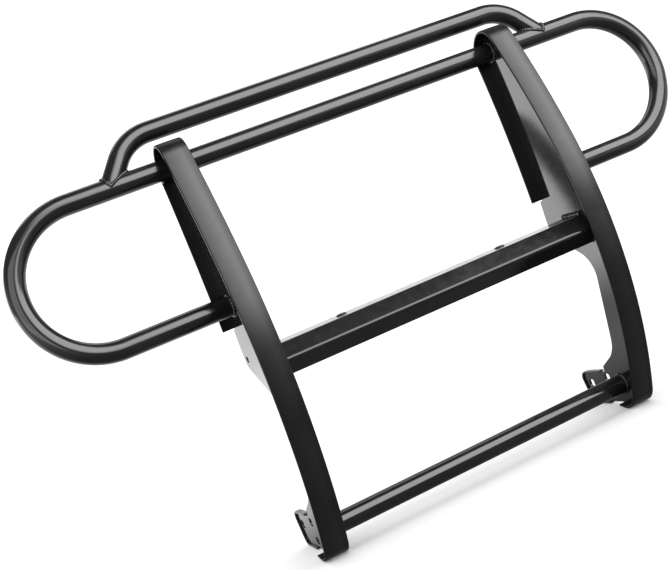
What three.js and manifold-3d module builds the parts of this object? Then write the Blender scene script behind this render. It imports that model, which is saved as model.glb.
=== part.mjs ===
// Front grille guard: two wrapped-plate uprights joined by three crossbars,
// with a bent side loop outside each upright and a raised hoop over the top.
// Millimetres. X is across the guard, -Y is its front, +Z is up.

import * as THREE from 'three';
import * as BufferGeometryUtils from 'three/addons/utils/BufferGeometryUtils.js';
import Module from 'manifold-3d';

const wasm = await Module();
wasm.setup();

// ---------- driving dimensions ----------
const GAP = 0.3;                 // clearance between pieces that touch
const TUBE_R = 19.05;            // 38.1 mm round tube
const TUBE_SIDES = 24;

const UPRIGHT_X = 339.3;         // middle plane of each upright
const WEB_T = 5;
const STRIP_W = 48;
const STRIP_T = 4.8;

// Outer face of the face strip, walked from the bottom curl to the rear leg.
const TIP_Y = -19.2;
const TIP_Z = -744.1;
const TIP_HEADING = 192;
const TIP_LENGTH = 16.3;
const CURL_R = 41.2;
const CURL_TURN = -76.2;
const LOWER_R = 777;
const LOWER_TURN = -40;
const UPPER_R = 1534;
const UPPER_TURN = -8.4;
const HOOK_R = 42;               // over the upper crossbar
const HOOK_TURN = -91.8;
const SHOULDER_R = 59.7;         // down behind the upper crossbar
const SHOULDER_TURN = -71.3;
const REAR_R = 1915;
const REAR_TURN = 8.6;

// Web: the strip fills its front edge; the rear edge sweeps in above the bumper.
const REAR_END_Y = 14;           // inner face of the rear leg's lower end
const REAR_END_Z = -310;
const SHOULDER = { y: 23.5, z: -312, r: 3 };
const HEEL_TOP = { y: 28, z: -350, r: 60 };
const HEEL = { y: 27, z: -384, r: 9 };
const WAIST_TOP = { y: -85, z: -449.5, r: 48 };
const WAIST_FOOT = { y: -35.5, z: -636, r: 65 };
const CUSP = { y: 24, z: -667, r: 1.5 };
const CUSP_STEP = 3;             // the cusp steps down to the lug's top edge

// Slotted lug at the foot of each web, and the narrow rim round it.
const LUG_TOP = -679.5;
const LUG_FALL = 3;              // the top edge falls by this much towards the rear
const LUG_BOTTOM = -744;
const LUG_REAR_TOP = 115.5;
const LUG_REAR_BOTTOM = 104;
const LUG_CORNER_R = 13;
const RIM_W = 12;
const RIM_T = 4;
const RIM_FRONT = 42;

// Round tubes: the upper crossbar's axis is the working origin (y 0, z 0).
const LOOP_DROP_Y = -27.8;
const LOOP_DROP_Z = -266.5;
const LOOP_REACH = 673.7;        // middle plane to the outermost point of the tube's axis
const HOOP_Y = 13.5;
const HOOP_Z = 74.5;
const HOOP_HALF_RUN = 356.2;
const HOOP_BEND_R = 86;
const HOOP_BEND_DEG = 51.75;
const LOWER_BAR_Y = -21.7;
const LOWER_BAR_Z = -703.9;

// Middle crossbar: one folded plate with a flat top flange and a pointed front.
const BAR_T = 4;
const FLANGE_REAR_Y = -37.1;
const FLANGE_Z = -355.5;
const FOLD_Y = -111.5;
const RIDGE_Y = -140.3;
const RIDGE_Z = -383.8;
const LIP_Y = -112;
const LIP_Z = -412.1;
const FOLD_R = 5;
const FOLD_INNER_R = 2;

// Light-mounting bolts through the top flange: low round heads above it,
// a washer and a nut below it.
const BOLT_X = 170;
const BOLT_Y = -68;
const BOLT_R = 4;
const BOLT_HEAD_R = 10;
const BOLT_HEAD_H = 3.2;
const BOLT_TAIL = 2;             // thread past the nut
const BOLT_HOLE_R = 4.5;
const WASHER_R = 10;
const WASHER_T = 1.6;
const NUT_R = 7.5;
const NUT_H = 6.5;

const rad = THREE.MathUtils.degToRad;

// ---------- materials ----------
function powderCoat(name) {
  const m = new THREE.MeshStandardMaterial({ color: 0x151516, roughness: 0.28, metalness: 0.0 });
  m.name = name;
  return m;
}

function blackZinc(name) {
  const m = new THREE.MeshStandardMaterial({ color: 0x1c1c1e, roughness: 0.35, metalness: 0.6 });
  m.name = name;
  return m;
}

// ---------- solids ----------
function cleanGeometry(geometry) {
  const g = geometry.index ? geometry.toNonIndexed() : geometry.clone();
  g.deleteAttribute('normal');
  g.deleteAttribute('uv');
  return BufferGeometryUtils.mergeVertices(g, 1e-4);
}

function toManifold(geometry) {
  const g = cleanGeometry(geometry);
  const mesh = new wasm.Mesh({
    numProp: 3,
    vertProperties: new Float32Array(g.attributes.position.array),
    triVerts: new Uint32Array(g.index.array),
  });
  return new wasm.Manifold(mesh);
}

function fromManifold(solid) {
  const mesh = solid.getMesh();
  const g = new THREE.BufferGeometry();
  g.setAttribute('position', new THREE.BufferAttribute(new Float32Array(mesh.vertProperties), 3));
  g.setIndex(new THREE.BufferAttribute(new Uint32Array(mesh.triVerts), 1));
  g.computeVertexNormals();
  return g;
}

function cut(geometry, cutters) {
  let solid = toManifold(geometry);
  for (const cutter of cutters) {
    solid = solid.subtract(toManifold(cutter));
  }
  return fromManifold(solid);
}

// A flat outline in (y, z), extruded along X and centred on x.
function plateAlongX(outline, width, x) {
  const shape = new THREE.Shape(outline);
  const g = new THREE.ExtrudeGeometry(shape, { depth: width, bevelEnabled: false, steps: 1 });
  const toRow = new THREE.Matrix4().set(0, 0, 1, x - width / 2, 1, 0, 0, 0, 0, 1, 0, 0, 0, 0, 0, 1);
  g.applyMatrix4(toRow);
  return g;
}

function cylinderAlong(axis, radius, length, centre, sides) {
  const g = new THREE.CylinderGeometry(radius, radius, length, sides);
  if (axis === 'x') g.rotateZ(Math.PI / 2);
  if (axis === 'z') g.rotateX(Math.PI / 2);
  g.translate(centre.x, centre.y, centre.z);
  return g;
}

// A round tube swept along a curve, as a solid rod of the tube's outside size.
function sweptTube(curve, steps) {
  const ring = new THREE.Shape();
  ring.absarc(0, 0, TUBE_R, 0, 2 * Math.PI);
  return new THREE.ExtrudeGeometry(ring, {
    extrudePath: curve, steps, bevelEnabled: false, curveSegments: TUBE_SIDES / 2,
  });
}

// ---------- flat paths in (y, z) ----------
// Walks straight runs and arcs from a start point; each point keeps its heading.
function walk(y, z, headingDeg, legs) {
  const path = [{ y, z, h: rad(headingDeg) }];
  for (const leg of legs) {
    const last = path[path.length - 1];
    if (leg.length) {
      path.push({
        y: last.y + leg.length * Math.cos(last.h),
        z: last.z + leg.length * Math.sin(last.h),
        h: last.h,
      });
      continue;
    }
    const turn = rad(leg.turn);
    const side = Math.sign(turn);
    const cy = last.y - side * leg.r * Math.sin(last.h);
    const cz = last.z + side * leg.r * Math.cos(last.h);
    for (let i = 1; i <= leg.steps; i += 1) {
      const h = last.h + (turn * i) / leg.steps;
      path.push({ y: cy + side * leg.r * Math.sin(h), z: cz - side * leg.r * Math.cos(h), h });
    }
  }
  return path;
}

// The same path moved sideways, to the right of its heading.
function offsetRight(path, distance) {
  return path.map((p) => new THREE.Vector2(
    p.y + distance * Math.sin(p.h),
    p.z - distance * Math.cos(p.h),
  ));
}

// A band of even thickness along a path.
function band(path, thickness) {
  const outer = offsetRight(path, 0);
  const inner = offsetRight(path, thickness);
  return outer.concat(inner.reverse());
}

// A chain of corners, each rounded with its own radius.
function roundedChain(corners, stepDeg = 9) {
  const points = [];
  corners.forEach((corner, i) => {
    const p = new THREE.Vector2(corner.y, corner.z);
    if (!corner.r || i === 0 || i === corners.length - 1) {
      points.push(p);
      return;
    }
    const before = new THREE.Vector2(corners[i - 1].y, corners[i - 1].z).sub(p).normalize();
    const after = new THREE.Vector2(corners[i + 1].y, corners[i + 1].z).sub(p).normalize();
    const half = Math.acos(before.dot(after)) / 2;
    const centre = before.clone().add(after).normalize().multiplyScalar(corner.r / Math.sin(half)).add(p);
    const back = corner.r / Math.tan(half);
    const from = before.clone().multiplyScalar(back).add(p).sub(centre);
    const to = after.clone().multiplyScalar(back).add(p).sub(centre);
    const start = from.angle();
    let sweep = to.angle() - start;
    if (sweep > Math.PI) sweep -= 2 * Math.PI;
    if (sweep < -Math.PI) sweep += 2 * Math.PI;
    const steps = Math.max(2, Math.ceil(Math.abs(sweep) / rad(stepDeg)));
    for (let k = 0; k <= steps; k += 1) {
      const a = start + (sweep * k) / steps;
      points.push(new THREE.Vector2(
        centre.x + corner.r * Math.cos(a),
        centre.y + corner.r * Math.sin(a),
      ));
    }
  });
  return points;
}

// ---------- uprights ----------
function stripPath() {
  return walk(TIP_Y, TIP_Z, TIP_HEADING, [
    { length: TIP_LENGTH },
    { r: CURL_R, turn: CURL_TURN, steps: 9 },
    { r: LOWER_R, turn: LOWER_TURN, steps: 26 },
    { r: UPPER_R, turn: UPPER_TURN, steps: 7 },
    { r: HOOK_R, turn: HOOK_TURN, steps: 13 },
    { r: SHOULDER_R, turn: SHOULDER_TURN, steps: 10 },
    { r: REAR_R, turn: REAR_TURN, steps: 8 },
  ]);
}

function faceStrip(x) {
  return plateAlongX(band(stripPath(), STRIP_T), STRIP_W, x);
}

function slotOutline(y, z, length, height, cornerR) {
  const y0 = y - length / 2;
  const y1 = y + length / 2;
  const z0 = z - height / 2;
  const z1 = z + height / 2;
  const corners = [
    { y, z: z0 }, { y: y1, z: z0, r: cornerR }, { y: y1, z: z1, r: cornerR },
    { y: y0, z: z1, r: cornerR }, { y: y0, z: z0, r: cornerR }, { y, z: z0 },
  ];
  return roundedChain(corners, 22).slice(0, -1);
}

const LUG_SLOTS = [
  { y: 90, z: -704.5, length: 17, height: 16, cornerR: 5 },
  { y: 23.5, z: -691.5, length: 17, height: 16, cornerR: 5 },
  { y: 26, z: -729, length: 16, height: 14, cornerR: 5 },
];
const CORNER_SLOT = { y: 8, z: -370, length: 13, height: 11, cornerR: 4 };

function webPlate(x) {
  const inside = offsetRight(stripPath(), STRIP_T + GAP);
  const foot = { y: TIP_Y + 2 };
  const rearEdge = roundedChain([
    { y: REAR_END_Y, z: REAR_END_Z },
    SHOULDER,
    HEEL_TOP,
    HEEL,
    WAIST_TOP,
    WAIST_FOOT,
    CUSP,
    { y: CUSP.y + CUSP_STEP, z: LUG_TOP, r: CUSP.r },
    { y: LUG_REAR_TOP, z: LUG_TOP - LUG_FALL, r: LUG_CORNER_R },
    { y: LUG_REAR_BOTTOM, z: LUG_BOTTOM, r: LUG_CORNER_R },
    { y: foot.y, z: LUG_BOTTOM },
    { y: foot.y, z: TIP_Z + STRIP_T + 2 * GAP },
  ]);
  const plate = plateAlongX(inside.concat(rearEdge), WEB_T, x);
  const holes = [...LUG_SLOTS, CORNER_SLOT].map((s) => plateAlongX(
    slotOutline(s.y, s.z, s.length, s.height, s.cornerR), 4 * WEB_T, x,
  ));
  return cut(plate, holes);
}

// Closed outline of a strip wrapped round the lug's top, rear and bottom edges.
function rimOutline() {
  const topStart = CUSP.y + CUSP_STEP;
  const fallAtFront = (LUG_FALL * (RIM_FRONT - topStart)) / (LUG_REAR_TOP - topStart);
  const chain = (off) => roundedChain([
    { y: RIM_FRONT, z: LUG_TOP - fallAtFront + off },
    { y: LUG_REAR_TOP + off, z: LUG_TOP - LUG_FALL + off, r: LUG_CORNER_R + off },
    { y: LUG_REAR_BOTTOM + off, z: LUG_BOTTOM - off, r: LUG_CORNER_R + off },
    { y: RIM_FRONT, z: LUG_BOTTOM - off },
  ]);
  return chain(GAP + RIM_T).concat(chain(GAP).reverse());
}

function lugRim(x) {
  return plateAlongX(rimOutline(), RIM_W, x);
}

// ---------- round tubes ----------
function crossTube(y, z) {
  const length = 2 * (UPRIGHT_X - WEB_T / 2 - GAP);
  return cylinderAlong('x', TUBE_R, length, new THREE.Vector3(0, y, z), TUBE_SIDES);
}

class LoopCurve extends THREE.Curve {
  constructor(side) {
    super();
    this.side = side;
    this.start = UPRIGHT_X + WEB_T / 2 + GAP;
    this.rise = Math.hypot(LOOP_DROP_Y, LOOP_DROP_Z);
    this.bend = this.rise / 2;
    this.run = LOOP_REACH - this.bend - this.start;
  }

  getPoint(t) {
    const arc = Math.PI * this.bend;
    const s = t * (2 * this.run + arc);
    let x = this.start + s;
    let d = 0;
    if (s > this.run) {
      const a = Math.min((s - this.run) / this.bend, Math.PI);
      x = this.start + this.run + this.bend * Math.sin(a);
      d = this.bend * (1 - Math.cos(a));
    }
    if (s > this.run + arc) x = this.start + 2 * this.run + arc - s;
    const f = d / this.rise;
    return new THREE.Vector3(this.side * x, LOOP_DROP_Y * f, LOOP_DROP_Z * f);
  }
}

class HoopCurve extends THREE.Curve {
  constructor() {
    super();
    this.height = Math.hypot(HOOP_Y, HOOP_Z);
    this.bendAngle = rad(HOOP_BEND_DEG);
    this.bendLength = HOOP_BEND_R * this.bendAngle;
    const bendDrop = HOOP_BEND_R * (1 - Math.cos(this.bendAngle));
    this.legLength = (this.height - bendDrop) / Math.sin(this.bendAngle);
  }

  getPoint(t) {
    const half = HOOP_HALF_RUN + this.bendLength + this.legLength;
    const along = (2 * t - 1) * half;
    const s = Math.abs(along);
    let x = s;
    let drop = 0;
    if (s > HOOP_HALF_RUN) {
      const a = Math.min((s - HOOP_HALF_RUN) / HOOP_BEND_R, this.bendAngle);
      x = HOOP_HALF_RUN + HOOP_BEND_R * Math.sin(a);
      drop = HOOP_BEND_R * (1 - Math.cos(a));
    }
    const leg = s - HOOP_HALF_RUN - this.bendLength;
    if (leg > 0) {
      x += leg * Math.cos(this.bendAngle);
      drop += leg * Math.sin(this.bendAngle);
    }
    const f = (this.height - drop) / this.height;
    return new THREE.Vector3(Math.sign(along) * x, HOOP_Y * f, HOOP_Z * f);
  }
}

function sideLoop(side) {
  return sweptTube(new LoopCurve(side), 44);
}

function topHoop() {
  const seat = cylinderAlong('x', TUBE_R + GAP, 3 * LOOP_REACH, new THREE.Vector3(0, 0, 0), 2 * TUBE_SIDES);
  return cut(sweptTube(new HoopCurve(), 60), [seat]);
}

// ---------- middle crossbar and its bolts ----------
function foldedBarOutline() {
  const outside = [
    { y: FLANGE_REAR_Y, z: FLANGE_Z },
    { y: FOLD_Y, z: FLANGE_Z, r: FOLD_R },
    { y: RIDGE_Y, z: RIDGE_Z, r: FOLD_R },
    { y: LIP_Y, z: LIP_Z },
  ];
  const k = BAR_T * Math.SQRT2;
  const inside = [
    { y: FLANGE_REAR_Y, z: FLANGE_Z - BAR_T },
    { y: FOLD_Y + BAR_T * Math.tan(rad(22.5)), z: FLANGE_Z - BAR_T, r: FOLD_INNER_R },
    { y: RIDGE_Y + k, z: RIDGE_Z, r: FOLD_INNER_R },
    { y: LIP_Y + k / 2, z: LIP_Z + k / 2 },
  ];
  return roundedChain(outside, 20).concat(roundedChain(inside, 30).reverse());
}

function middleCrossbar() {
  const length = 2 * (UPRIGHT_X - WEB_T / 2 - GAP);
  const bar = plateAlongX(foldedBarOutline(), length, 0);
  const holes = [-1, 1].map((side) => cylinderAlong(
    'z', BOLT_HOLE_R, 6 * BAR_T, new THREE.Vector3(side * BOLT_X, BOLT_Y, FLANGE_Z), 20,
  ));
  return cut(bar, holes);
}

// Heights of the washer's and nut's lower faces, stacked below the flange.
const WASHER_FOOT_Z = FLANGE_Z - BAR_T - GAP - WASHER_T;
const NUT_FOOT_Z = WASHER_FOOT_Z - GAP - NUT_H;

// Round-head bolt: low dome, edge and shank turned in one profile.
function bolt(side) {
  const shank = FLANGE_Z + GAP - NUT_FOOT_Z + BOLT_TAIL;
  const profile = [
    new THREE.Vector2(0, -shank),
    new THREE.Vector2(BOLT_R, -shank),
    new THREE.Vector2(BOLT_R, 0),
    new THREE.Vector2(BOLT_HEAD_R, 0),
    new THREE.Vector2(BOLT_HEAD_R, 0.2 * BOLT_HEAD_H),
    new THREE.Vector2(0.86 * BOLT_HEAD_R, 0.56 * BOLT_HEAD_H),
    new THREE.Vector2(0.62 * BOLT_HEAD_R, 0.83 * BOLT_HEAD_H),
    new THREE.Vector2(0.32 * BOLT_HEAD_R, 0.97 * BOLT_HEAD_H),
    new THREE.Vector2(0, BOLT_HEAD_H),
  ];
  const g = new THREE.LatheGeometry(profile, 24);
  g.rotateX(Math.PI / 2);
  g.translate(side * BOLT_X, BOLT_Y, FLANGE_Z + GAP);
  return g;
}

function ringAlongZ(outerR, innerR, height, bottomZ, side, sides) {
  const g = cylinderAlong('z', outerR, height, new THREE.Vector3(0, 0, 0), sides);
  const hole = cylinderAlong('z', innerR, 2 * height, new THREE.Vector3(0, 0, 0), 20);
  const ring = cut(g, [hole]);
  ring.translate(side * BOLT_X, BOLT_Y, bottomZ + height / 2);
  return ring;
}

function washer(side) {
  return ringAlongZ(WASHER_R, BOLT_HOLE_R, WASHER_T, WASHER_FOOT_Z, side, 24);
}

function nut(side) {
  return ringAlongZ(NUT_R, BOLT_R + GAP, NUT_H, NUT_FOOT_Z, side, 6);
}

// ---------- assembly ----------
// The row's own origin: under the middle, at the lowest point, halfway from front to rear.
const sideView = offsetRight(stripPath(), 0).concat(rimOutline());
const LOWEST_Z = Math.min(...sideView.map((p) => p.y));
const ORIGIN_Y = (Math.min(...sideView.map((p) => p.x)) + Math.max(...sideView.map((p) => p.x))) / 2;

const guard = new THREE.Group();
guard.name = 'front_grille_guard';

function addPiece(name, geometry, material) {
  const g = cleanGeometry(geometry);
  g.translate(0, -ORIGIN_Y, -LOWEST_Z);
  g.computeVertexNormals();
  const mesh = new THREE.Mesh(g, material);
  mesh.name = name;
  guard.add(mesh);
}

for (const [label, side] of [['left', -1], ['right', 1]]) {
  addPiece(`upright_web_${label}`, webPlate(side * UPRIGHT_X), powderCoat(`web_coat_${label}`));
  addPiece(`face_strip_${label}`, faceStrip(side * UPRIGHT_X), powderCoat(`strip_coat_${label}`));
  addPiece(`lug_rim_${label}`, lugRim(side * UPRIGHT_X), powderCoat(`rim_coat_${label}`));
  addPiece(`side_loop_${label}`, sideLoop(side), powderCoat(`loop_coat_${label}`));
  addPiece(`light_bolt_${label}`, bolt(side), blackZinc(`bolt_zinc_${label}`));
  addPiece(`light_washer_${label}`, washer(side), blackZinc(`washer_zinc_${label}`));
  addPiece(`light_nut_${label}`, nut(side), blackZinc(`nut_zinc_${label}`));
}
addPiece('upper_crossbar', crossTube(0, 0), powderCoat('upper_bar_coat'));
addPiece('lower_crossbar', crossTube(LOWER_BAR_Y, LOWER_BAR_Z), powderCoat('lower_bar_coat'));
addPiece('middle_crossbar', middleCrossbar(), powderCoat('middle_bar_coat'));
addPiece('top_hoop', topHoop(), powderCoat('hoop_coat'));

export default guard;
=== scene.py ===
import math

import bmesh
import bpy
from mathutils import Matrix, Vector, noise
from mathutils.geometry import tessellate_polygon


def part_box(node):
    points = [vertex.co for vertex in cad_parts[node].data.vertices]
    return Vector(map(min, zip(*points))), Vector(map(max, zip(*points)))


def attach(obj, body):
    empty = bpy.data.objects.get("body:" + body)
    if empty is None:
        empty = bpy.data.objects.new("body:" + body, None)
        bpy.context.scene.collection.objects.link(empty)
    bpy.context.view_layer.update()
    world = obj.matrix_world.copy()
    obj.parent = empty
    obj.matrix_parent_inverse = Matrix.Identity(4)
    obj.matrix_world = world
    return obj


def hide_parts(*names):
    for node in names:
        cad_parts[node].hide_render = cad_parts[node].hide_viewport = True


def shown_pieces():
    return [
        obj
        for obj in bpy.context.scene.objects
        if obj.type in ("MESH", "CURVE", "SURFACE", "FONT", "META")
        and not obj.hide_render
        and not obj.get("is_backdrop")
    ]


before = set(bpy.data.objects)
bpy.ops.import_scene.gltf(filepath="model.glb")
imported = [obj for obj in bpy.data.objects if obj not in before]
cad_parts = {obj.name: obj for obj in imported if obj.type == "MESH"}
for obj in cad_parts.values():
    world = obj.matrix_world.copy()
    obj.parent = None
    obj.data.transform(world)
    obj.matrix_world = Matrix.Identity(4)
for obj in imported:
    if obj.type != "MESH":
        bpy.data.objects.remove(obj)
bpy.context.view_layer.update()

# ---------- driving dimensions, millimetres ----------
# The working origin is the upper crossbar's axis at the middle of the guard.
MM = 0.001
SIDES = (("left", -1), ("right", 1))
BURY = 0.2                      # how far welded pieces run into each other

TUBE_R = 19.05
UPRIGHT_X = 339.3
WEB_T = 5.0
WEB_EDGE_R = 0.7
STRIP_W = 48.0
STRIP_T = 4.8
STRIP_OUTER_R = 2.2             # edges of the outer face
STRIP_INNER_R = 0.8
STRIP_END_R = 0.9
STRIP_CROWN = 0.3               # how far the outer face's edges drop

# Outer face of the face strip: start, heading, then straight and curved legs.
TIP = (-19.2, -744.1)
TIP_HEADING = 192.0
STRIP_LEGS = (
    ("straight", 16.3),
    ("arc", 41.2, -76.2),       # curl under the foot
    ("arc", 777.0, -40.0),      # lower front
    ("arc", 1534.0, -8.4),      # upper front
    ("arc", 42.0, -91.8),       # over the upper crossbar
    ("arc", 59.7, -71.3),       # down behind it
    ("arc", 1915.0, 8.6),       # rear leg
)

# Corners of the web's free edge: y, z, radius.
WEB_REAR = (
    (14.0, -310.0, 0.0),
    (23.5, -312.0, 3.0),
    (28.0, -350.0, 60.0),
    (27.0, -384.0, 9.0),
    (-85.0, -449.5, 48.0),
    (-35.5, -636.0, 65.0),
    (24.0, -667.0, 1.5),
    (27.0, -679.5, 1.5),
    (115.5, -682.5, 13.0),
    (104.0, -744.0, 13.0),
    (-17.2, -744.0, 0.0),
    (-17.2, -738.7, 0.0),
)
# Slots through the web: y, z, length, height, corner radius.
WEB_SLOTS = (
    (90.0, -704.5, 17.0, 16.0, 5.0),
    (23.5, -691.5, 17.0, 16.0, 5.0),
    (26.0, -729.0, 16.0, 14.0, 5.0),
    (8.0, -370.0, 13.0, 11.0, 4.0),
)
RIM_W = 12.0
RIM_T = 4.0
RIM_OUTER_R = 1.0
RIM_INNER_R = 0.8
RIM_END_R = 0.7
RIM_CORNERS = (
    (42.0, -680.0, 0.0),
    (115.5, -682.5, 13.0),
    (104.0, -744.0, 13.0),
    (42.0, -744.0, 0.0),
)

UPPER_BAR = (0.0, 0.0)
LOWER_BAR = (-21.7, -703.9)
LOOP_DROP = (-27.8, -266.5)
LOOP_REACH = 673.7
HOOP_TOP = (13.5, 74.5)
HOOP_HALF_RUN = 356.2
HOOP_BEND_R = 86.0
HOOP_BEND = math.radians(51.75)
HOOP_FOOT_EASE = 0.4            # the feet's ends are this much thinner in radius

BAR_T = 4.0
BAR_EDGE_R = 0.9
BAR_INNER_R = 2.0
BAR_CORNERS = (
    (-37.1, -355.5, 0.0),
    (-111.5, -355.5, 5.0),
    (-140.3, -383.8, 6.0),
    (-112.0, -412.1, 0.0),
)

BOLT_X = 170.0
BOLT_Y = -68.0
BOLT_TAIL = 2.0                 # bolt past the nut
# Low round head from its rim to its crown: radius, height.
HEAD_PROFILE = (
    (9.6, 0.0), (10.0, 0.35), (10.0, 0.7), (9.5, 1.35), (8.4, 2.0), (6.9, 2.55),
    (5.0, 2.95), (3.0, 3.15), (1.2, 3.2), (0.3, 3.22),
)
SHANK_R = 4.0
THREAD_ROOT_R = 3.5
THREAD_END_R = 3.2
THREAD_LEAD = 0.3
THREAD_PITCH = 1.0
WASHER_BORE_R = 4.2
WASHER_R = 10.0
WASHER_T = 1.6
WASHER_EASE = 0.35
NUT_FLAT = 6.5                  # half the width over the nut's flats
NUT_H = 6.5
NUT_BORE_R = 4.1
NUT_BEVEL = 0.5

bar_lo, bar_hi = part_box("upper_crossbar")
ORIGIN = (bar_lo + bar_hi) / 2


def at(x, y, z):
    """A point of the working frame, in the frame's metres."""
    return ORIGIN + Vector((x, y, z)) * MM


# ---------- numbers in rows ----------
def evenly(start, end, steps):
    """Values from start to end, both included."""
    return [start + (end - start) * k / steps for k in range(steps + 1)]


def once_round(sides):
    """Angles once round a circle."""
    return [2 * math.pi * k / sides for k in range(sides)]


# ---------- flat paths in (y, z) ----------
WALK_STEP = 7.0                 # longest step along a path
WALK_TURN = 2.5                 # largest turn in one step, degrees
CORNER_TURN = 6.0               # the same for rounded corners
WEB_CORNER_TURN = 4.0
BAR_CORNER_TURN = 8.0
MITRE_LEAST = 0.4               # caps the shift of sharp corners
LEAST_GAP = 0.05                # closer points count as one


def walk(start, heading_deg, legs):
    """Points (y, z, heading) along straight and curved legs."""
    y, z = start
    h = math.radians(heading_deg)
    path = [(y, z, h)]
    for kind, size, *bend in legs:
        if kind == "straight":
            for s in evenly(0.0, size, math.ceil(size / WALK_STEP))[1:]:
                path.append((y + s * math.cos(h), z + s * math.sin(h), h))
            y, z, h = path[-1]
            continue
        turn = math.radians(bend[0])
        side = math.copysign(1.0, turn)
        cy = y - side * size * math.sin(h)
        cz = z + side * size * math.cos(h)
        steps = max(math.ceil(abs(turn) * size / WALK_STEP), math.ceil(abs(bend[0]) / WALK_TURN))
        for a in evenly(h, h + turn, steps)[1:]:
            path.append((cy + side * size * math.sin(a), cz - side * size * math.cos(a), a))
        y, z, h = path[-1]
    return path


def offset_right(path, distance):
    return [(y + distance * math.sin(h), z - distance * math.cos(h)) for y, z, h in path]


def rounded(corners, step_deg=CORNER_TURN):
    """A chain of (y, z, radius) corners, each rounded with its own radius."""
    points = []
    for i, (y, z, r) in enumerate(corners):
        p = Vector((y, z))
        if not r or i in (0, len(corners) - 1):
            points.append((y, z))
            continue
        before = (Vector(corners[i - 1][:2]) - p).normalized()
        after = (Vector(corners[i + 1][:2]) - p).normalized()
        half = math.acos(max(-1.0, min(1.0, before.dot(after)))) / 2
        centre = p + (before + after).normalized() * (r / math.sin(half))
        start = p + before * (r / math.tan(half)) - centre
        end = p + after * (r / math.tan(half)) - centre
        a0 = math.atan2(start.y, start.x)
        sweep = math.atan2(end.y, end.x) - a0
        sweep = (sweep + math.pi) % (2 * math.pi) - math.pi
        steps = max(3, math.ceil(abs(math.degrees(sweep)) / step_deg))
        for a in evenly(a0, a0 + sweep, steps):
            points.append((centre.x + r * math.cos(a), centre.y + r * math.sin(a)))
    return points


def with_headings(points):
    """Adds to each point the heading from its neighbour before to the one after."""
    path = []
    for i, (y, z) in enumerate(points):
        a = points[max(i - 1, 0)]
        b = points[min(i + 1, len(points) - 1)]
        path.append((y, z, math.atan2(b[1] - a[1], b[0] - a[0])))
    return path


def grown(corners, offset):
    """The rim's corners moved out by offset, its two ends staying at their own y."""
    (y0, z0, _), (y1, z1, r1), (y2, z2, r2), (y3, z3, _) = corners
    return (
        (y0, z0 + offset, 0.0),
        (y1 + offset, z1 + offset, r1 + offset),
        (y2 + offset, z2 - offset, r2 + offset),
        (y3, z3 - offset, 0.0),
    )


def slot_outline(y, z, length, height, r):
    """A rectangle with rounded corners, begun at the middle of its lower side."""
    y0, y1 = y - length / 2, y + length / 2
    z0, z1 = z - height / 2, z + height / 2
    return rounded((
        (y, z0, 0.0), (y1, z0, r), (y1, z1, r), (y0, z1, r), (y0, z0, r), (y, z0, 0.0),
    ))


def inset_left(points, distance):
    """A closed outline moved to its left."""
    moved = []
    n = len(points)
    for i in range(n):
        p = Vector(points[i])
        a = (p - Vector(points[i - 1])).normalized()
        b = (Vector(points[(i + 1) % n]) - p).normalized()
        na, nb = Vector((-a.y, a.x)), Vector((-b.y, b.x))
        m = (na + nb).normalized()
        moved.append(p + m * (distance / max(MITRE_LEAST, m.dot(na))))
    return moved


def area(points):
    """The signed area of a closed outline."""
    return sum(
        points[i - 1][0] * points[i][1] - points[i][0] * points[i - 1][1]
        for i in range(len(points))
    ) / 2


def distinct(points):
    """A closed outline without points that nearly coincide."""
    kept = []
    for p in points:
        if not kept or (Vector(p) - Vector(kept[-1])).length > LEAST_GAP:
            kept.append(p)
    if (Vector(kept[0]) - Vector(kept[-1])).length <= LEAST_GAP:
        kept.pop()
    return kept


# ---------- mesh building ----------
SHARP = math.radians(42.0)      # edges with a larger turn stay crisp
TUBE_SIDES = 72
BOLT_SIDES = 60
NUT_SIDES = 72
EASE_STEPS = 4
PLATE_EASE_STEPS = 3
CROWN_STATIONS = (-0.75, -0.5, -0.25, 0.0, 0.25, 0.5, 0.75)


def new_object(name, bm, material):
    """Makes a finished bmesh an object of the scene."""
    mesh = bpy.data.meshes.new(name)
    bm.to_mesh(mesh)
    bm.free()
    mesh.materials.append(material)
    thing = bpy.data.objects.new(name, mesh)
    bpy.context.scene.collection.objects.link(thing)
    return thing


def make_piece(name, bm, material, replaces=()):
    """Finishes a bmesh as a smooth-shaded piece that rides on the root body."""
    bmesh.ops.remove_doubles(bm, verts=bm.verts, dist=1e-7)
    bmesh.ops.recalc_face_normals(bm, faces=bm.faces)
    for f in bm.faces:
        f.smooth = True
    for e in bm.edges:
        if len(e.link_faces) == 2 and e.calc_face_angle(0.0) > SHARP:
            e.smooth = False
    piece = new_object(name, bm, material)
    weighted = piece.modifiers.new("even_shading", "WEIGHTED_NORMAL")
    weighted.keep_sharp = True
    weighted.weight = 50
    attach(piece, "root")
    if replaces:
        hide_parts(*replaces)


def skin(bm, rings, closed=False):
    """Joins rings of points with quads, and caps the two ends of an open row."""
    rows = [[bm.verts.new(p) for p in ring] for ring in rings]
    n = len(rows[0])
    last = len(rows) if closed else len(rows) - 1
    for i in range(last):
        a, b = rows[i], rows[(i + 1) % len(rows)]
        for k in range(n):
            bm.faces.new((a[k], a[(k + 1) % n], b[(k + 1) % n], b[k]))
    if not closed:
        bm.faces.new(rows[0])
        bm.faces.new(rows[-1])


def tube(bm, points, flat_normal, end_ease=0.0):
    """A round tube along a flat path whose plane has the given normal."""
    rings = []
    last = len(points) - 1
    for i, p in enumerate(points):
        along = (points[min(i + 1, last)] - points[max(i - 1, 0)]).normalized()
        across = flat_normal.cross(along).normalized()
        r = (TUBE_R - end_ease if i in (0, last) else TUBE_R) * MM
        rings.append([
            p + (across * math.cos(a) + flat_normal * math.sin(a)) * r
            for a in once_round(TUBE_SIDES)
        ])
    skin(bm, rings)


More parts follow.
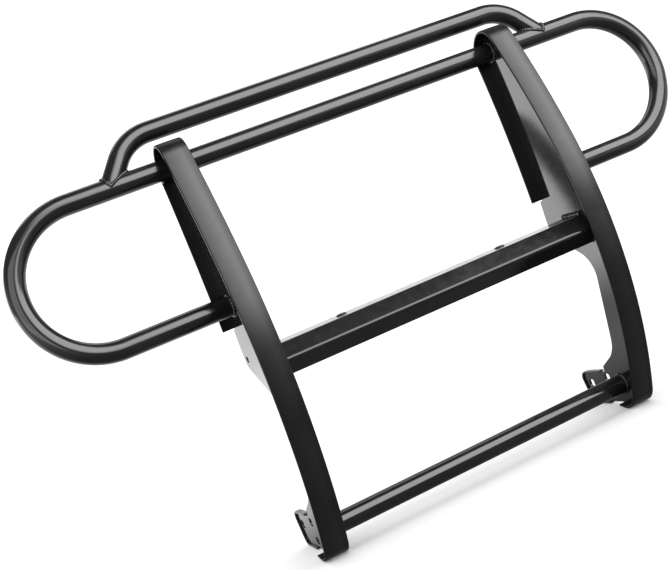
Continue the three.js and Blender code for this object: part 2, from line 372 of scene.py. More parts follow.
def section(width, thickness, outer_r, inner_r, crown):
    """A rounded rectangle as (across, depth) points. Depth 0 is the outer face, and a crown
    sets this face's edges deeper than its middle."""
    flat = width / 2 - outer_r
    centres = (
        (-width / 2 + outer_r, outer_r, outer_r, math.pi),
        (width / 2 - outer_r, outer_r, outer_r, 1.5 * math.pi),
        (width / 2 - inner_r, thickness - inner_r, inner_r, 0.0),
        (-width / 2 + inner_r, thickness - inner_r, inner_r, 0.5 * math.pi),
    )
    points = []
    for i, (u, v, r, start) in enumerate(centres):
        for a in evenly(start, start + 0.5 * math.pi, EASE_STEPS):
            points.append((u + r * math.cos(a), v + r * math.sin(a)))
        if crown and i == 0:
            points += [(flat * t, 0.0) for t in CROWN_STATIONS]
    return [
        (u, v + crown * min(1.0, abs(u) / flat) ** 2 * max(0.0, 1 - v / thickness))
        for u, v in points
    ]


def flat_bar(bm, path, x, width, thickness, outer_r, inner_r, end_r, crown=0.0):
    """A flat bar bent along a path of its outer face, with eased ends."""
    shape = section(width, thickness, outer_r, inner_r, crown)

    def ring(y, z, h, inset):
        squeeze_u = 1 - 2 * inset / width
        squeeze_v = 1 - 2 * inset / thickness
        points = []
        for u, v in shape:
            d = (v - thickness / 2) * squeeze_v + thickness / 2
            points.append(at(x + u * squeeze_u, y + d * math.sin(h), z - d * math.cos(h)))
        return points

    def shifted(node, distance):
        y, z, h = node
        return y + distance * math.cos(h), z + distance * math.sin(h), h

    eased = [(0.0, end_r), (0.3 * end_r, 0.3 * end_r), (end_r, 0.0)]
    rings = [ring(*shifted(path[0], s), inset) for s, inset in eased]
    rings += [ring(*node, 0.0) for node in path[1:-1]]
    rings += [ring(*shifted(path[-1], -s), inset) for s, inset in reversed(eased)]
    skin(bm, rings)


def flat_plate(bm, outline, holes, thickness, x, edge):
    """A flat plate across X with holes, all its edges eased."""
    loops = [distinct(outline)] + [distinct(h) for h in holes]
    for i, loop in enumerate(loops):
        if (area(loop) > 0) != (i == 0):
            loop.reverse()
    profile = [
        (-thickness / 2 + edge * (1 - math.cos(a)), edge * (1 - math.sin(a)))
        for a in evenly(0.0, 0.5 * math.pi, PLATE_EASE_STEPS)
    ]
    profile += [(-px, inset) for px, inset in reversed(profile)]
    ends = ([], [])
    for loop in loops:
        rings = []
        for px, inset in profile:
            rings.append([bm.verts.new(at(x + px, *p)) for p in inset_left(loop, inset)])
        n = len(loop)
        for a, b in zip(rings, rings[1:]):
            for k in range(n):
                bm.faces.new((a[k], a[(k + 1) % n], b[(k + 1) % n], b[k]))
        ends[0].append(rings[0])
        ends[1].append(rings[-1])
    for side in ends:
        flat = [v for ring in side for v in ring]
        polygons = [[Vector((v.co.y, v.co.z, 0.0)) for v in ring] for ring in side]
        for tri in tessellate_polygon(polygons):
            corners = [flat[i] for i in tri]
            if len(set(corners)) == 3:
                bm.faces.new(corners)


def lathe(bm, centre, profile, sides, radius_at=lambda r, a: r):
    """Rings about a vertical axis. radius_at(r, angle) may shape each one."""
    rings = []
    for r, z in profile:
        rings.append([
            centre + Vector((radius_at(r, a) * math.cos(a), radius_at(r, a) * math.sin(a), z)) * MM
            for a in once_round(sides)
        ])
    skin(bm, rings)


# ---------- materials ----------
class Tree:
    """Short calls for building a node tree."""

    def __init__(self, tree):
        self.tree = tree
        tree.nodes.clear()

    def new(self, kind):
        return self.tree.nodes.new(kind)

    def feed(self, socket, value):
        """Sets a socket to a number, or links it to another node's output."""
        if isinstance(value, (int, float)):
            socket.default_value = value
        else:
            self.tree.links.new(value, socket)

    def ranged(self, value, lo, hi, to_lo=0.0, to_hi=1.0, smooth=False):
        n = self.new("ShaderNodeMapRange")
        if smooth:
            n.interpolation_type = "SMOOTHSTEP"
        n.inputs["From Min"].default_value = lo
        n.inputs["From Max"].default_value = hi
        n.inputs["To Min"].default_value = to_lo
        n.inputs["To Max"].default_value = to_hi
        self.feed(n.inputs["Value"], value)
        return n.outputs[0]

    def math(self, operation, a, b=0.0):
        n = self.new("ShaderNodeMath")
        n.operation = operation
        self.feed(n.inputs[0], a)
        self.feed(n.inputs[1], b)
        return n.outputs[0]

    def total(self, first, *others):
        for other in others:
            first = self.math("ADD", first, other)
        return first

    def product(self, first, *others):
        for other in others:
            first = self.math("MULTIPLY", first, other)
        return first

    def axes(self, vector):
        """The X, Y and Z of a vector."""
        n = self.new("ShaderNodeSeparateXYZ")
        self.feed(n.inputs[0], vector)
        return tuple(n.outputs)

    def either(self, factor, a, b):
        """One shader or another."""
        n = self.new("ShaderNodeMixShader")
        self.feed(n.inputs[0], factor)
        self.feed(n.inputs[1], a)
        self.feed(n.inputs[2], b)
        return n.outputs[0]

    def ray_is(self, kind):
        return self.new("ShaderNodeLightPath").outputs[f"Is {kind} Ray"]


class Surface(Tree):
    """A material's node tree around one principled shader."""

    def __init__(self, name):
        self.material = bpy.data.materials.new(name)
        self.material.use_nodes = True
        super().__init__(self.material.node_tree)
        self.output = self.new("ShaderNodeOutputMaterial")
        self.shader = self.new("ShaderNodeBsdfPrincipled")
        self.feed(self.output.inputs[0], self.shader.outputs[0])
        self.place = self.new("ShaderNodeTexCoord").outputs["Object"]

    def set(self, name, value):
        self.feed(self.shader.inputs[name], value)

    def noise(self, scale, detail=3.0, roughness=0.5, stretch=None):
        n = self.new("ShaderNodeTexNoise")
        n.inputs["Scale"].default_value = scale
        n.inputs["Detail"].default_value = detail
        n.inputs["Roughness"].default_value = roughness
        source = self.place
        if stretch:
            m = self.new("ShaderNodeMapping")
            m.inputs["Scale"].default_value = stretch
            self.feed(m.inputs["Vector"], source)
            source = m.outputs[0]
        self.feed(n.inputs["Vector"], source)
        return n.outputs["Fac"]

    def mix(self, factor, a, b):
        """A colour between two, each given as numbers or as another node's output."""
        n = self.new("ShaderNodeMix")
        n.data_type = "RGBA"
        self.feed(n.inputs["Factor"], factor)
        for socket, value in ((n.inputs[6], a), (n.inputs[7], b)):
            if isinstance(value, tuple):
                socket.default_value = (*value, 1.0)
            else:
                self.feed(socket, value)
        return n.outputs[2]

    def bump(self, height, strength, distance, after=None):
        n = self.new("ShaderNodeBump")
        n.inputs["Strength"].default_value = strength
        n.inputs["Distance"].default_value = distance
        self.feed(n.inputs["Height"], height)
        if after is not None:
            self.feed(n.inputs["Normal"], after)
        return n.outputs[0]

    def upward(self):
        """How far the surface faces up, 0 to 1."""
        normal = self.new("ShaderNodeNewGeometry").outputs["Normal"]
        return self.ranged(self.axes(normal)[2], 0.35, 1.0)


BLACK = (0.005, 0.005, 0.0054)
DUST_GREY = (0.16, 0.155, 0.145)
ZINC_DARK = (0.018, 0.018, 0.02)
ZINC_PALE = (0.05, 0.05, 0.055)
ZINC_ROUGH = (0.26, 0.44)
ZINC_METALLIC = 0.7
COAT_IOR = 1.5
# Noise scales, per metre.
BROAD_SCALE = 7.0
FINE_SCALE = 55.0
GRAIN_SCALE = 900.0
FLOW_SCALE = 26.0
PEEL_SCALE = 330.0
PATCH_SCALE = 160.0
MARKS_SCALE = 500.0
# Swings of the roughness, and bump depths in metres.
FINE_DRIFT = 0.03
BROAD_DRIFT = 0.02
FLOW_DEPTH = 0.0004
PEEL_DEPTH = 0.00015
MARKS_DEPTH = 0.0001
# Painted shade on the strips: shares of the full shine at a strip's left edge, at its right edge and
# on top, dimmed where the light falls off.
STRIP_LEFT_PAINTED_SHINE = 0.48
STRIP_RIGHT_PAINTED_SHINE = 0.5
STRIP_TOP_PAINTED_SHINE = 0.35


def powder_coat(name, rough, peel, dust, flow, shine=0.5, painted_shine_map=None, drift=1.0):
    """Black powder coat: drifting tone and gloss, orange peel, a little dust on upward faces."""
    n = Surface(name)
    broad = n.noise(BROAD_SCALE, 4.0, 0.55)
    fine = n.noise(FINE_SCALE, 3.0, 0.6)
    grain = n.noise(GRAIN_SCALE, 2.0, 0.7)
    deep = tuple(c * 0.75 for c in BLACK)
    pale = tuple(c * 1.35 for c in BLACK)
    settled = n.product(n.upward(), n.ranged(fine, 0.45, 0.75, 0.0, dust))
    grime = n.total(settled, n.product(n.ranged(grain, 0.66, 0.74), 0.1 * dust))
    n.set("Base Color", n.mix(grime, n.mix(n.ranged(broad, 0.3, 0.7), deep, pale), DUST_GREY))
    by_fine = n.ranged(fine, 0.3, 0.7, -FINE_DRIFT * drift, FINE_DRIFT * drift)
    by_broad = n.ranged(broad, 0.3, 0.7, -BROAD_DRIFT * drift, BROAD_DRIFT * drift)
    n.set("Roughness", n.total(by_fine, by_broad, n.product(grime, 0.6), rough))
    ripple = n.bump(n.noise(FLOW_SCALE, 2.0, 0.5), flow, FLOW_DEPTH)
    n.set("Normal", n.bump(n.noise(PEEL_SCALE, 2.0, 0.5), peel, PEEL_DEPTH, ripple))
    n.set("IOR", COAT_IOR)
    # A shine map, where given, paints light and shade into the coat's reflection.
    n.set("Specular IOR Level", n.product(painted_shine_map(n), shine) if painted_shine_map else shine)
    return n.material


def painted_strip_shade(n):
    """Painted shade over a strip: the coat's shine full right of its middle, duller to the edges and
    on top, where the light falls off.
    """
    x = n.axes(n.place)[0]
    u = n.math("SUBTRACT", x, n.product(n.math("SIGN", x), UPRIGHT_X * MM))
    half = STRIP_W * MM / 2
    return n.product(
        n.ranged(u, -half, 0.35 * half, STRIP_LEFT_PAINTED_SHINE, 1.0),
        n.ranged(u, 0.35 * half, half, 1.0, STRIP_RIGHT_PAINTED_SHINE),
        n.ranged(n.upward(), 0.05, 0.6, 1.0, STRIP_TOP_PAINTED_SHINE),
    )


def black_zinc(name):
    """Black zinc plating on a fastener: metal with a patchy sheen and turning marks."""
    n = Surface(name)
    patch = n.noise(PATCH_SCALE, 4.0, 0.6)
    marks = n.noise(MARKS_SCALE, 2.0, 0.5, stretch=(1.0, 1.0, 6.0))
    n.set("Base Color", n.mix(n.ranged(patch, 0.35, 0.65), ZINC_DARK, ZINC_PALE))
    n.set("Roughness", n.ranged(patch, 0.3, 0.7, *ZINC_ROUGH))
    n.set("Normal", n.bump(marks, 0.15, MARKS_DEPTH))
    n.set("Metallic", ZINC_METALLIC)
    return n.material


tube_coat = powder_coat("tube_powder_coat", 0.14, peel=0.006, dust=0.03, flow=0.03)
web_coat = powder_coat("web_powder_coat", 0.07, peel=0.004, dust=0.03, flow=0.03, drift=0.2)
# The strips' coat carries painted shade in its shine, dimmer to the edges and on top.
strip_coat = powder_coat(
    "strip_powder_coat", 0.3, peel=0.012, dust=0.04, flow=0.03, shine=0.4, painted_shine_map=painted_strip_shade,
)
bar_coat = powder_coat("bar_powder_coat", 0.15, peel=0.004, dust=0.02, flow=0.02, shine=0.4)
rim_coat = powder_coat("rim_powder_coat", 0.26, peel=0.04, dust=0.05, flow=0.06)
weld_coat = powder_coat("weld_powder_coat", 0.12, peel=0.03, dust=0.03, flow=0.1)
zinc = black_zinc("black_zinc_plate")

# ---------- uprights ----------
strip_path = walk(TIP, TIP_HEADING, STRIP_LEGS)
web_outline = offset_right(strip_path, STRIP_T - BURY) + rounded(WEB_REAR, WEB_CORNER_TURN)
web_slots = [slot_outline(*s) for s in WEB_SLOTS]
rim_path = with_headings(rounded(grown(RIM_CORNERS, RIM_T - BURY)))

for label, side in SIDES:
    x = side * UPRIGHT_X
    bm = bmesh.new()
    flat_bar(
        bm, strip_path, x, STRIP_W, STRIP_T, STRIP_OUTER_R, STRIP_INNER_R, STRIP_END_R, STRIP_CROWN,
    )
    make_piece(f"strip_{label}", bm, strip_coat, [f"face_strip_{label}"])

    bm = bmesh.new()
    flat_plate(bm, web_outline, web_slots, WEB_T, x, WEB_EDGE_R)
    make_piece(f"web_{label}", bm, web_coat, [f"upright_web_{label}"])

    bm = bmesh.new()
    flat_bar(bm, rim_path, x, RIM_W, RIM_T, RIM_OUTER_R, RIM_INNER_R, RIM_END_R)
    make_piece(f"rim_{label}", bm, rim_coat, [f"lug_rim_{label}"])

# ---------- round tubes ----------
BAR_STEPS = 24
LOOP_RUN_STEPS = 12
LOOP_BEND_STEPS = 72
HOOP_RUN_STEPS = 16
HOOP_BEND_STEPS = 30
HOOP_LEG_STEPS = 6

X_AXIS = Vector((1, 0, 0))
Z_AXIS = Vector((0, 0, 1))
bar_reach = UPRIGHT_X - WEB_T / 2 + BURY

for name, place, node in (
    ("upper_bar", UPPER_BAR, "upper_crossbar"),
    ("lower_bar", LOWER_BAR, "lower_crossbar"),
):
    bm = bmesh.new()
    tube(bm, [at(x, *place) for x in evenly(-bar_reach, bar_reach, BAR_STEPS)], Z_AXIS)
    make_piece(name, bm, tube_coat, [node])


def loop_axis(side):
    """The side loop's axis: out, round a half circle, and back."""
    rise = math.hypot(*LOOP_DROP)
    bend = rise / 2
    start = UPRIGHT_X + WEB_T / 2 - BURY
    far = LOOP_REACH - bend
    run_out = [(x, 0.0) for x in evenly(start, far, LOOP_RUN_STEPS)[:-1]]
    arc = [
        (far + bend * math.sin(a), bend * (1 - math.cos(a)))
        for a in evenly(0.0, math.pi, LOOP_BEND_STEPS)
    ]
    run_back = [(x, rise) for x in evenly(far, start, LOOP_RUN_STEPS)[1:]]
    return [
        at(side * x, LOOP_DROP[0] * d / rise, LOOP_DROP[1] * d / rise)
        for x, d in run_out + arc + run_back
    ]


loop_normal = X_AXIS.cross(Vector((0, *LOOP_DROP))).normalized()
for label, side in SIDES:
    bm = bmesh.new()
    tube(bm, loop_axis(side), loop_normal)
    make_piece(f"loop_{label}", bm, tube_coat, [f"side_loop_{label}"])

hoop_height = math.hypot(*HOOP_TOP)
hoop_bend_drop = HOOP_BEND_R * (1 - math.cos(HOOP_BEND))
hoop_leg = (hoop_height - hoop_bend_drop) / math.sin(HOOP_BEND)
hoop_foot_x = HOOP_HALF_RUN + HOOP_BEND_R * math.sin(HOOP_BEND) + hoop_leg * math.cos(HOOP_BEND)
hoop_up = Vector((0, *HOOP_TOP)).normalized()
hoop_side = X_AXIS.cross(hoop_up)


def hoop_axis():
    """The hoop's axis from its left foot over its run to its right foot."""
    half = [(x, 0.0) for x in evenly(0.0, HOOP_HALF_RUN, HOOP_RUN_STEPS)]
    for a in evenly(0.0, HOOP_BEND, HOOP_BEND_STEPS)[1:]:
        half.append((HOOP_HALF_RUN + HOOP_BEND_R * math.sin(a), HOOP_BEND_R * (1 - math.cos(a))))
    x0, d0 = half[-1]
    for s in evenly(0.0, hoop_leg, HOOP_LEG_STEPS)[1:]:
        half.append((x0 + s * math.cos(HOOP_BEND), d0 + s * math.sin(HOOP_BEND)))
    both = [(-x, d) for x, d in reversed(half[1:])] + half
    return [
        at(x, HOOP_TOP[0] * (1 - d / hoop_height), HOOP_TOP[1] * (1 - d / hoop_height))
        for x, d in both
    ]


bm = bmesh.new()
tube(bm, hoop_axis(), hoop_side, HOOP_FOOT_EASE)
make_piece("hoop", bm, tube_coat, ["top_hoop"])

# ---------- middle crossbar ----------
(flange_y, flange_z, _), (shoulder_y, _, _), (nose_y, nose_z, _), (foot_y, foot_z, _) = BAR_CORNERS


def bar_section():
    """The folded plate's outline: flange, upper face and lower face, open behind."""
    inner_shift = BAR_T * math.sqrt(2)
    inside = (
        (flange_y, flange_z - BAR_T, 0.0),
        (shoulder_y + BAR_T * math.tan(math.radians(45) / 2), flange_z - BAR_T, BAR_INNER_R),
        (nose_y + inner_shift, nose_z, BAR_INNER_R),
        (foot_y + inner_shift / 2, foot_z + inner_shift / 2, 0.0),
    )
    eased = [(y, z, r or BAR_EDGE_R) for y, z, r in (*BAR_CORNERS, *reversed(inside))]
    (y0, z0, _), (y1, z1, _) = eased[0], eased[-1]
    middle = ((y0 + y1) / 2, (z0 + z1) / 2, 0.0)
    return distinct(rounded([middle, *eased, middle], BAR_CORNER_TURN))


bar_outline = bar_section()
bm = bmesh.new()
skin(bm, [[at(x, y, z) for y, z in bar_outline] for x in evenly(-bar_reach, bar_reach, BAR_STEPS)])
make_piece("middle_bar", bm, bar_coat, ["middle_crossbar"])


# ---------- light bolts ----------
def round_head_bolt(bm, centre):
    """Low round head over a shank with rolled thread."""
    foot = -(BAR_T + WASHER_T + NUT_H + BOLT_TAIL)
    turns = math.floor(-(foot + BAR_T) / THREAD_PITCH)
    profile = [(THREAD_END_R, foot)]
    for k in range(2 * turns):
        r = SHANK_R if k % 2 else THREAD_ROOT_R
        profile.append((r, foot + THREAD_LEAD + k * THREAD_PITCH / 2))
    profile += [(SHANK_R, -BAR_T), (SHANK_R, 0.0), *HEAD_PROFILE]
    lathe(bm, centre, profile, BOLT_SIDES)


def washer(bm, centre):
    """A flat ring with eased outer corners."""
    e = WASHER_EASE
    lathe(bm, centre, [
        (WASHER_BORE_R, 0.0), (WASHER_R - e, 0.0), (WASHER_R, e), (WASHER_R, WASHER_T - e),
        (WASHER_R - e, WASHER_T), (WASHER_BORE_R + e, WASHER_T), (WASHER_BORE_R, WASHER_T - e),
    ], BOLT_SIDES)


def hexagonal(r, angle):
    """A radius cut back to the nut's flats."""
    a = (angle + math.pi / 6) % (math.pi / 3) - math.pi / 6
    return min(r, NUT_FLAT / math.cos(a))


def nut(bm, centre):
    """A hexagon nut whose corners are turned off at both ends."""
    b = NUT_BEVEL
    turned_r = NUT_FLAT * 1.06
    face_r = turned_r - 0.6
    past_corners = 9.0
    corner_cut = 1.1
    lathe(bm, centre, [
        (NUT_BORE_R, b), (NUT_BORE_R + b, 0.0), (face_r, 0.0), (turned_r, b),
        (past_corners, corner_cut), (past_corners, NUT_H - corner_cut),
        (turned_r, NUT_H - b), (face_r, NUT_H), (NUT_BORE_R + b, NUT_H),
    ], NUT_SIDES, hexagonal)


for label, side in SIDES:
    spot = at(side * BOLT_X, BOLT_Y, flange_z)
    bm = bmesh.new()
    round_head_bolt(bm, spot)
    make_piece(f"bolt_{label}", bm, zinc, [f"light_bolt_{label}"])

    bm = bmesh.new()
    washer_foot = spot - Vector((0, 0, (BAR_T + WASHER_T) * MM))
    washer(bm, washer_foot)
    make_piece(f"washer_{label}", bm, zinc, [f"light_washer_{label}"])

    bm = bmesh.new()
    nut(bm, washer_foot - Vector((0, 0, NUT_H * MM)))
    make_piece(f"nut_{label}", bm, zinc, [f"light_nut_{label}"])

# ---------- weld beads ----------
BEAD_STEP = 0.9
BEAD_SIDES = 10
BEAD_R = 2.9
BEAD_PITCH = 4.4
# Shares of a bead's radius: its mean, its ripple, its wobble and the size of its ends.
BEAD_MEAN = 0.95
BEAD_LUMPS = 0.26
BEAD_WOBBLE = 0.2
BEAD_END = 0.45
BEAD_END_GROWTH = 0.35
WOBBLE_SCALE = 0.35
BEAD_LIFT = 0.8                 # a round bead's middle stands off the web this far
BEAD_CLEAR = 0.4                # and off the tube this far
LEG_CLEAR = 0.6                 # the same for the strip's rear leg
LEG_ARC = (-100, -25)           # degrees about the tube, from the back
LEG_ARC_STEPS = 15
FLANGE_BEAD_R = 3.9
FLANGE_BEAD_OUT = 1.5
FLANGE_BEAD_UP = 2.0
FLANGE_BEAD_PITCH = 15.0
FLANGE_BEAD_LUMPS = 1.3
FLANGE_STEPS = 40
SEAM_BEAD_R = 1.7
SEAM_BEAD_OUT = 0.6
HOOP_BEAD_R = 3.5
SEAM_STEPS = 72
CIRCLE_STEPS = 60


def resample(points, closed):
    """Points at even distances along a line in space."""
    loop = points + [points[0]] if closed else points
    length = sum((b - a).length for a, b in zip(loop, loop[1:]))
    count = max(4, round(length / (BEAD_STEP * MM)))
    spaced = []
    travelled, i = 0.0, 0
    for k in range(count if closed else count + 1):
        goal = length * k / count
        while i < len(loop) - 2 and travelled + (loop[i + 1] - loop[i]).length < goal:
            travelled += (loop[i + 1] - loop[i]).length
            i += 1
        leg = (loop[i + 1] - loop[i]).length
        spaced.append(loop[i].lerp(loop[i + 1], min(1.0, (goal - travelled) / leg)))
    return spaced


def bead(bm, points, radius, closed, seed, pitch=BEAD_PITCH, lumps=BEAD_LUMPS):
    """A rippled weld bead along a path in space."""
    line = resample(points, closed)
    n = len(line)
    rings = []
    across = None
    for i, p in enumerate(line):
        before = line[i - 1] if closed or i else line[0]
        after = line[(i + 1) % n] if closed else line[min(i + 1, n - 1)]
        along = (after - before).normalized()
        if across is None:
            across = along.orthogonal().normalized()
        across = (across - along * across.dot(along)).normalized()
        other = along.cross(across)
        ripple = abs(math.sin(math.pi * i * BEAD_STEP / pitch))
        wobble = noise.noise(p / MM * WOBBLE_SCALE + Vector((seed, 0, 0)))
        size = radius * (BEAD_MEAN + lumps * (ripple - 0.5) + BEAD_WOBBLE * wobble)
        if not closed:
            size *= min(1.0, BEAD_END + BEAD_END_GROWTH * min(i, n - 1 - i))
        rings.append([
            p + (across * math.cos(a) + other * math.sin(a)) * size * MM
            for a in once_round(BEAD_SIDES)
        ])
    skin(bm, rings, closed)


def circle_x(x, y, z, radius):
    """A circle about an axis along X."""
    return [
        at(x, y + radius * math.cos(a), z + radius * math.sin(a))
        for a in once_round(CIRCLE_STEPS)
    ]


def web_welds(bm, side):
    """The beads of one upright: round four tube ends, under the side loop at the strip's outer
    edge, and round the middle bar, with a coarser one on its flange."""
    inner_x = side * (UPRIGHT_X - WEB_T / 2)
    outer_x = side * (UPRIGHT_X + WEB_T / 2)
    inner_bead_x = inner_x - side * BEAD_LIFT
    outer_bead_x = outer_x + side * BEAD_LIFT
    for seed, x, middle in (
        (1, inner_bead_x, UPPER_BAR),
        (3, inner_bead_x, LOWER_BAR),
        (5, outer_bead_x, UPPER_BAR),
        (7, outer_bead_x, LOOP_DROP),
    ):
        bead(bm, circle_x(x, *middle, TUBE_R + BEAD_CLEAR), BEAD_R, True, seed + side)
    edge_x = side * (UPRIGHT_X + STRIP_W / 2 + LEG_CLEAR)
    leg_r = TUBE_R + LEG_CLEAR
    under = [
        at(edge_x, leg_r * math.cos(a), leg_r * math.sin(a))
        for a in map(math.radians, evenly(*LEG_ARC, LEG_ARC_STEPS))
    ]
    bead(bm, under, BEAD_R, False, 13 + side)
    flange_line = [
        at(inner_x - side * FLANGE_BEAD_OUT, y, flange_z + FLANGE_BEAD_UP)
        for y in evenly(flange_y, shoulder_y, FLANGE_STEPS)[:-2]
    ]
    bead(bm, flange_line, FLANGE_BEAD_R, False, 15 + side, FLANGE_BEAD_PITCH, FLANGE_BEAD_LUMPS)
    seam = [at(inner_x - side * SEAM_BEAD_OUT, y, z) for y, z in bar_outline]
    bead(bm, seam, SEAM_BEAD_R, True, 9 + side)


def hoop_weld(bm, side):
    """The bead at the hoop's foot, where two tubes of one size cross."""
    foot = at(side * hoop_foot_x, 0, 0)
    down = Vector((side * math.cos(HOOP_BEND), 0, 0)) - hoop_up * math.sin(HOOP_BEND)
    normal = hoop_side.cross(down).normalized()
    seam = []
    for a in once_round(SEAM_STEPS):
        rim_point = (normal * math.cos(a) + hoop_side * math.sin(a)) * TUBE_R
        rise = (TUBE_R * abs(math.cos(a)) - rim_point.dot(hoop_up)) / down.dot(hoop_up)
        seam.append(foot + (rim_point + down * rise) * MM)
    bead(bm, seam, HOOP_BEAD_R, True, 11 + side)


for label, side in SIDES:
    bm = bmesh.new()
    web_welds(bm, side)
    make_piece(f"web_welds_{label}", bm, weld_coat)

    bm = bmesh.new()
    hoop_weld(bm, side)
    make_piece(f"hoop_weld_{label}", bm, weld_coat)

# ---------- stage ----------
# Glows are strengths, and the places that they fade between are metres or, for the world,
# parts of a direction. Left and right are as the camera sees them.
FLOOR_HALF = 60.0
FLOOR_DROP = 0.0005             # keeps the floor clear of the guard's feet
FLOOR_PALE = ((0.88, 0.88, 0.88), (0.9, 0.9, 0.9))
FLOOR_LIFT = 0.14
FLOOR_FAR_LEFT = 3.3
FLOOR_FAR_RIGHT = 1.6
FLOOR_NEAR_LEFT = 0.8
FLOOR_NEAR_RIGHT = 0.3
FLOOR_BESIDE = 0.9
FLOOR_BASE = 0.2
BACKDROP = 1.27
WALL_LEFT = 4.2
WALL_MIDDLE = 2.0
WALL_RIGHT_SHARE = 0.74
SIDE_GLOW = 0.9
ROOM_GLOW = 0.16


def stage_floor():
    """A pale floor. In reflections it is dim under the guard and bright far behind it."""
    n = Surface("pale_floor")
    n.set("Base Color", n.mix(n.noise(3.0, 3.0, 0.5), *FLOOR_PALE))
    n.set("Roughness", 0.9)
    n.set("Specular IOR Level", 0.0)
    n.shader.inputs["Emission Color"].default_value = (1.0, 1.0, 1.0, 1.0)
    n.set("Emission Strength", FLOOR_LIFT)
    x, y, _ = n.axes(n.place)
    depth = n.ranged(y, -0.35, 2.2)
    bearing = n.math("DIVIDE", x, y)
    far = n.product(depth, depth, n.ranged(bearing, -0.5, -0.3, FLOOR_FAR_LEFT, FLOOR_FAR_RIGHT))
    near = n.product(
        n.ranged(y, 0.02, 0.35),
        n.ranged(y, 0.5, 1.2, 1.0, 0.0),
        n.ranged(x, -0.3, 0.2, FLOOR_NEAR_LEFT, FLOOR_NEAR_RIGHT),
    )
    beside = n.product(
        n.ranged(n.math("ABSOLUTE", x), 0.9, 2.2, 0.0, FLOOR_BESIDE),
        n.ranged(y, 0.8, 1.6, 1.0, 0.0),
    )
    reflected = n.new("ShaderNodeEmission")
    n.feed(reflected.inputs["Strength"], n.total(far, near, beside, FLOOR_BASE))
    n.feed(n.output.inputs[0], n.either(n.ray_is("Camera"), reflected.outputs[0], n.shader.outputs[0]))
    n.material.cycles.emission_sampling = "NONE"
    bm = bmesh.new()
    bmesh.ops.create_grid(bm, x_segments=2, y_segments=2, size=FLOOR_HALF)
    floor = new_object("floor", bm, n.material)
    floor.location = (0, 0, -FLOOR_DROP)
    floor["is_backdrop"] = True


stage_floor()


def studio_world():
    """White to the camera; in reflections a dim room with a bright low wall behind the guard."""
    world = bpy.data.worlds.new("studio")
    bpy.context.scene.world = world
    world.use_nodes = True
    n = Tree(world.node_tree)
    x, y, z = n.axes(n.new("ShaderNodeTexCoord").outputs["Generated"])
    wall = n.product(
        n.ranged(y, 0.45, 0.85, smooth=True),
        n.ranged(z, 0.1, 0.4, 1.0, 0.0, smooth=True),
        n.ranged(x, -0.52, -0.18, WALL_LEFT, WALL_MIDDLE, smooth=True),
        n.ranged(x, 0.0, 0.3, 1.0, WALL_RIGHT_SHARE, smooth=True),
    )
    sides = n.product(
        n.ranged(n.math("ABSOLUTE", x), 0.62, 0.9, 0.0, SIDE_GLOW, smooth=True),
        n.ranged(z, 0.1, 0.6, 1.0, 0.0, smooth=True),
    )
    shown = n.new("ShaderNodeBackground")
    shown.inputs["Color"].default_value = (1, 1, 1, 1)
    shown.inputs["Strength"].default_value = BACKDROP
    reflected = n.new("ShaderNodeBackground")
    n.feed(reflected.inputs["Strength"], n.total(wall, sides, ROOM_GLOW))
    out = n.new("ShaderNodeOutputWorld")
    n.feed(out.inputs[0], n.either(n.ray_is("Glossy"), shown.outputs[0], reflected.outputs[0]))
    world.cycles.sampling_method = "NONE"


studio_world()

# Stations down the black card: x, y, z and half width, millimetres.
CARD_STATIONS = (
    (-890, 2150, -60, 20),
    (-905, 2144, -102, 44),
    (-1004, 2094, -380, 64),
    (-1040, 2087, -600, 56),
)
CARD_ACROSS = Vector((0.9, 0.43, 0.0)).normalized()


def black_card():
    """A narrow black card behind the guard, seen only as a streak in the right web."""
    n = Surface("black_card")
    n.set("Base Color", n.ranged(n.noise(9.0), 0.3, 0.7, 0.01, 0.03))
    n.set("Roughness", 1.0)
    n.set("Specular IOR Level", 0.0)
    bm = bmesh.new()
    rows = []
    for x, y, z, half in CARD_STATIONS:
        edge = CARD_ACROSS * half * MM
        rows.append([bm.verts.new(at(x, y, z) + edge), bm.verts.new(at(x, y, z) - edge)])
    for upper, lower in zip(rows, rows[1:]):
        bm.faces.new((upper[0], upper[1], lower[1], lower[0]))
    card = new_object("black_card", bm, n.material)
    card.visible_camera = False
    card.visible_diffuse = False
    card.visible_shadow = False
    card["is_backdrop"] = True


black_card()

# ---------- lights ----------
# Angles are degrees from the guard's front and above the floor; sizes are metres.
LIGHT_TARGET = Vector((0, 0, 0.42))
guard = bpy.data.collections.new("guard")
bpy.context.scene.collection.children.link(guard)
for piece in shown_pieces():
    guard.objects.link(piece)


def softbox(name, azimuth, elevation, distance, width, height, radiance):
    """A soft light looking at the guard's middle, hidden from the camera."""
    light = bpy.data.lights.new(name, "AREA")
    light.shape = "RECTANGLE"
    light.size, light.size_y = width, height
    light.energy = radiance * math.pi * width * height
    a, e = math.radians(azimuth), math.radians(elevation)
    back = Vector((math.sin(a) * math.cos(e), -math.cos(a) * math.cos(e), math.sin(e)))
    lamp = bpy.data.objects.new(name, light)
    lamp.location = LIGHT_TARGET + back * distance
    lamp.rotation_mode = "QUATERNION"
    lamp.rotation_quaternion = back.to_track_quat("Z", "Y")
    lamp.visible_camera = False
    lamp.light_linking.receiver_collection = guard
    bpy.context.scene.collection.objects.link(lamp)
    return lamp


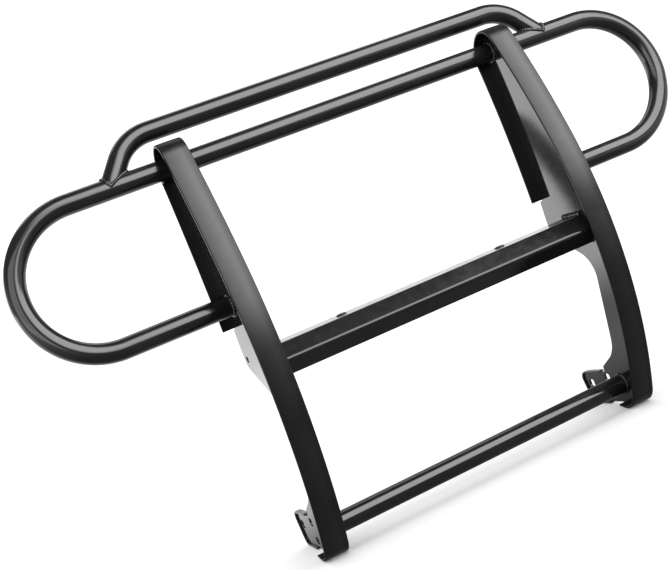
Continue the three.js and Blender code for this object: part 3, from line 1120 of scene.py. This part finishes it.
def fade_edges(lamp, left, right, bottom, top, corner):
    """Dims a softbox over shares of its size at its edges, and over two diagonal distances in
    metres at its top right corner."""
    lamp.data.use_nodes = True
    n = Tree(lamp.data.node_tree)
    place = n.new("ShaderNodeNewGeometry").outputs["Position"]

    def along(axis):
        """Distance from the light's middle along one of its own directions."""
        direction = lamp.rotation_quaternion @ axis
        dot = n.new("ShaderNodeVectorMath")
        dot.operation = "DOT_PRODUCT"
        n.feed(dot.inputs[0], place)
        dot.inputs[1].default_value = direction
        return n.math("SUBTRACT", dot.outputs["Value"], lamp.location.dot(direction))

    factors = []
    for axis, size, low, high in (
        (Vector((1, 0, 0)), lamp.data.size, left, right),
        (Vector((0, 1, 0)), lamp.data.size_y, bottom, top),
    ):
        offset, half = along(axis), size / 2
        factors.append(n.ranged(offset, -half, -half + size * low, smooth=True))
        factors.append(n.ranged(offset, half, half - size * high, smooth=True))
    diagonal = along(Vector((1, 1, 0)).normalized())
    factors.append(n.ranged(diagonal, corner[1], corner[0], smooth=True))
    emission = n.new("ShaderNodeEmission")
    n.feed(emission.inputs["Strength"], n.product(*factors))
    n.feed(n.new("ShaderNodeOutputLight").inputs[0], emission.outputs[0])


key = softbox("key", 30, 42, distance=3.0, width=5.0, height=4.1, radiance=7.7)
fade_edges(key, left=0.22, right=0.3, bottom=0.08, top=0.34, corner=(1.5, 2.15))
softbox("left_fill", -47, 14, distance=3.0, width=2.8, height=2.6, radiance=2.4)
softbox("rear_fill", 180, 52, distance=3.5, width=3.6, height=1.5, radiance=1.6)

# ---------- camera ----------
# The place is in the working frame; the three directions are unit vectors.
CAMERA_AT = (-803.65, -1988.62, -192.86)
CAMERA_RIGHT = (0.87536, -0.31399, -0.36764)
CAMERA_UP = (0.36499, -0.06952, 0.92841)
CAMERA_BACK = (-0.31707, -0.94688, 0.05375)
SENSOR = 36.0
LENS = 61.04

camera = bpy.data.cameras.new("camera")
camera.sensor_width = SENSOR
camera.lens = LENS
camera.clip_start, camera.clip_end = 0.05, 200.0
view = bpy.data.objects.new("camera", camera)
pose = Matrix((CAMERA_RIGHT, CAMERA_UP, CAMERA_BACK)).transposed().to_4x4()
pose.translation = at(*CAMERA_AT)
view.matrix_world = pose
bpy.context.scene.collection.objects.link(view)
bpy.context.scene.camera = view
bpy.context.scene.view_settings.view_transform = "Standard"
